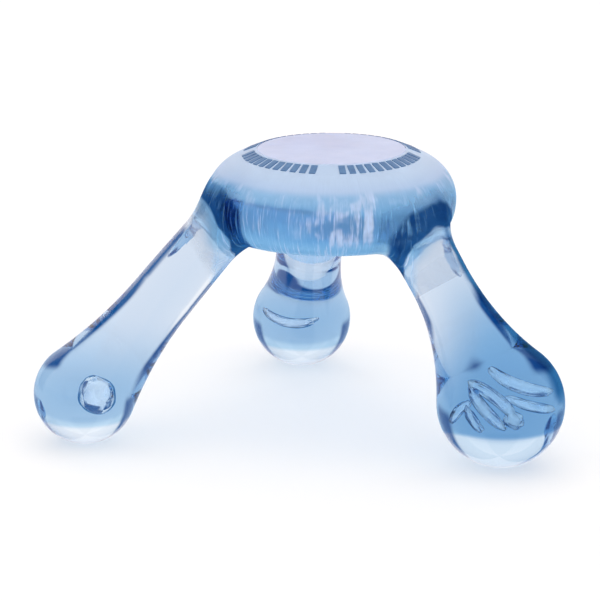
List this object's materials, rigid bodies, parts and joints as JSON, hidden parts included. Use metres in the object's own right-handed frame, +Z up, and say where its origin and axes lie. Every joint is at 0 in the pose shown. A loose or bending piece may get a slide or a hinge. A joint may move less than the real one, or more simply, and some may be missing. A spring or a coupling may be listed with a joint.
{
  "type": "palm massager",
  "caption": "Hand-held massager in clear blue plastic: a round palm hub with splayed legs that flare into ball-shaped knobs.",
  "frame": {"origin": "on the floor, under the middle of the object's bounding box", "axes": "+Z up along the hub's axis, through the palm pad; +Y towards the rear leg, -X towards the left leg"},
  "size_m": [0.0996, 0.0856, 0.0545],
  "materials": {
    "hub_plastic": "clear blue, faintly brushed rim",
    "pad_plastic": "polished flat, pale reflection",
    "leg_plastic": "clear blue, polished",
    "knob_plastic": "clear blue, polished",
    "mark_print": "darker blue raised marks"
  },
  "bodies": {
    "root": {"palm_hub": "hub_plastic", "top_disc": "pad_plastic", "ring_marks": "mark_print", "leg_left": "leg_plastic", "leg_rear": "leg_plastic", "leg_right": "leg_plastic", "knob_left": "knob_plastic", "knob_rear": "knob_plastic", "knob_right": "knob_plastic"}
  },
  "joints": []
}
